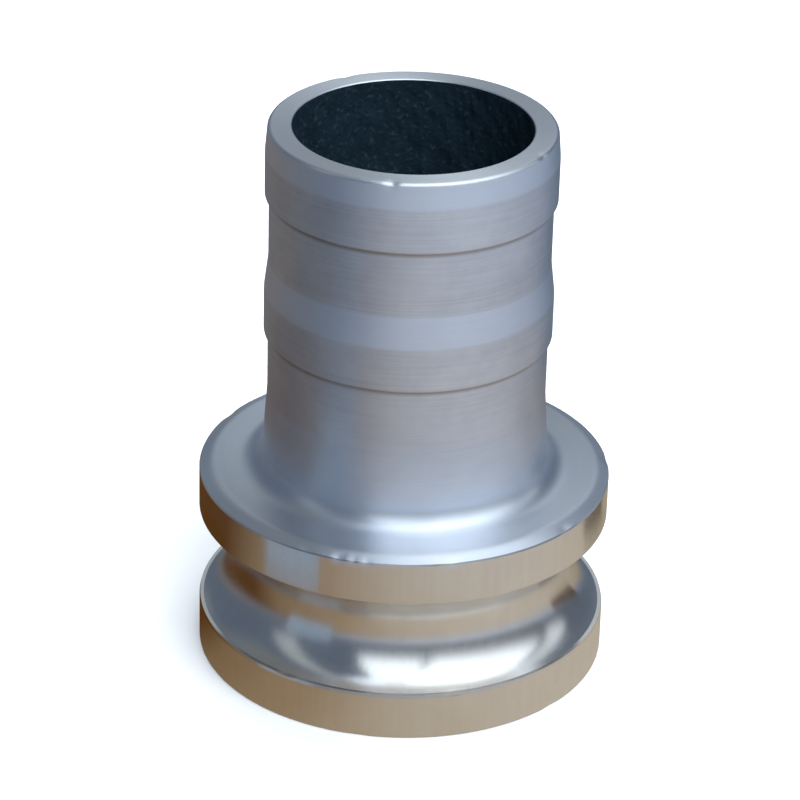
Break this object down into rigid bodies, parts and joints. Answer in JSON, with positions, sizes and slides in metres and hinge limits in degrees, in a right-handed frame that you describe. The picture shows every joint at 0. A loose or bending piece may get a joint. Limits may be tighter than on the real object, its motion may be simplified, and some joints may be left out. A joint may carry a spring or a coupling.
{
  "type": "camlock hose adapter",
  "caption": "Male cam-and-groove adapter with a barbed hose shank, turned in aluminium; plugs into a camlock coupler and carries a hose.",
  "frame": {"origin": "centre of the nose face, at the bottom of the adapter, which is the face that it stands and seals on", "axes": "+Z along the waterway from the male head to the hose end; the adapter is a body of revolution about Z"},
  "size_m": [0.0454, 0.0454, 0.0623],
  "materials": {
    "adapter_body": "turned outside, bright on the head and satin on the shank; dark and as cast in the bore"
  },
  "bodies": {
    "root": {"adapter_body": "adapter_body"}
  },
  "joints": []
}
